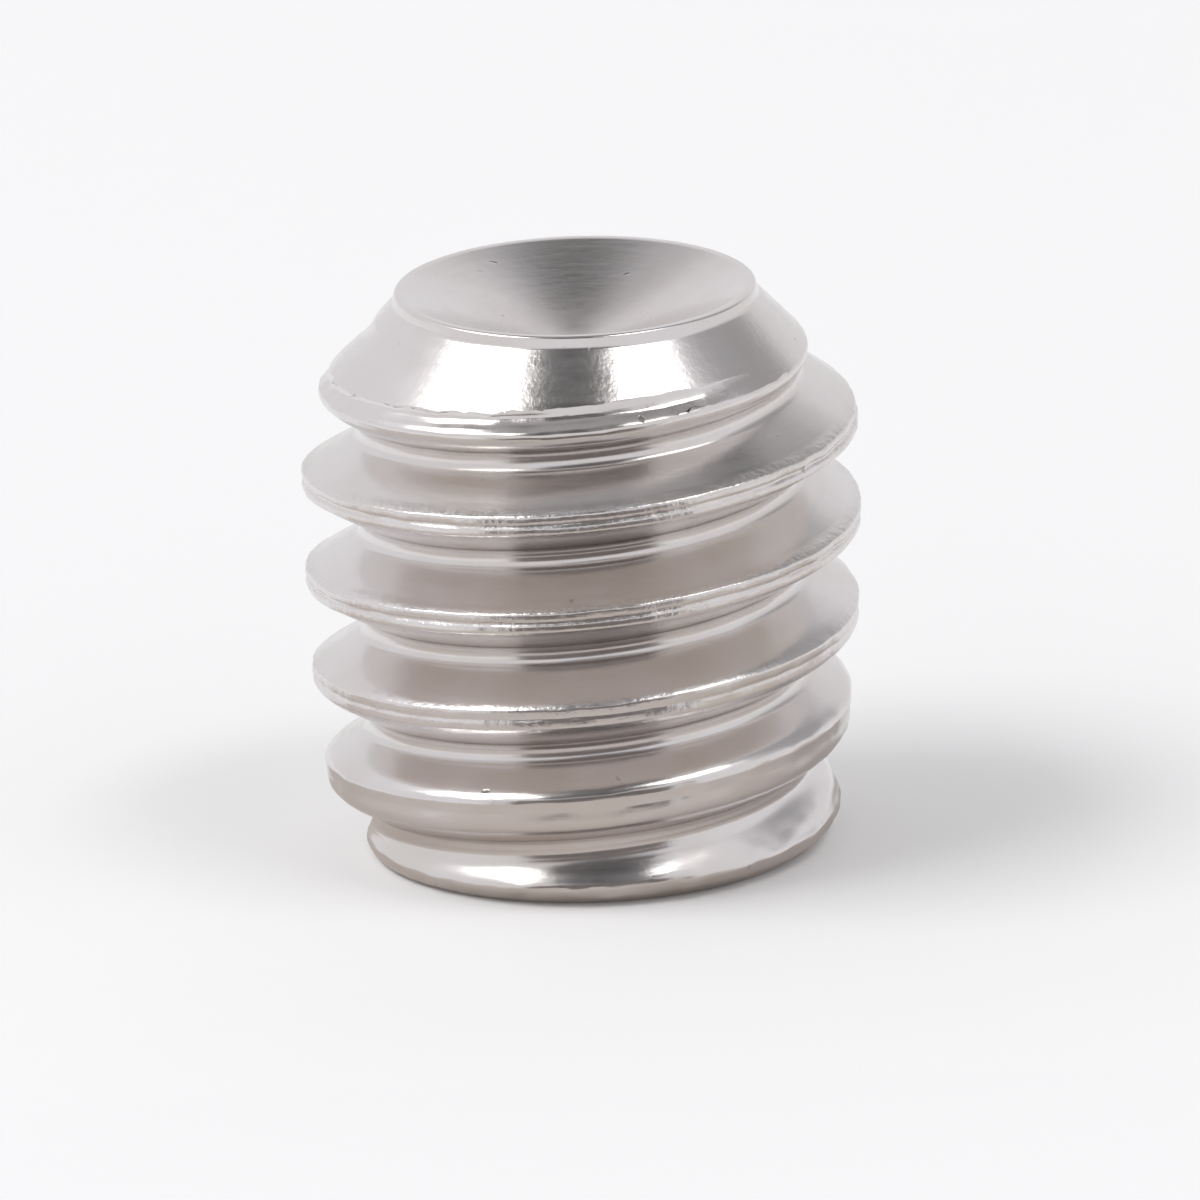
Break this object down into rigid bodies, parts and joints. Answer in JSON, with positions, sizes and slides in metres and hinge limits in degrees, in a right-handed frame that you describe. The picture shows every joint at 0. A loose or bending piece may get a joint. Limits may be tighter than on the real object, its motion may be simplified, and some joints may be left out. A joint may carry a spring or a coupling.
{
  "type": "hexagon socket set screw with cup point",
  "caption": "Headless M4 x 4 mm stainless set screw, threaded end to end, with a cup point and a 2 mm hexagon socket.",
  "frame": {"origin": "on the screw's axis, in the plane of the socket end's flat face", "axes": "+Z along the axis from the socket end to the cup point; X and Y square to it, with two corners of the hexagon socket on X"},
  "size_m": [0.0038, 0.0038, 0.004],
  "materials": {
    "stainless_steel": "polished"
  },
  "bodies": {
    "root": {"set_screw": "stainless_steel"}
  },
  "joints": []
}
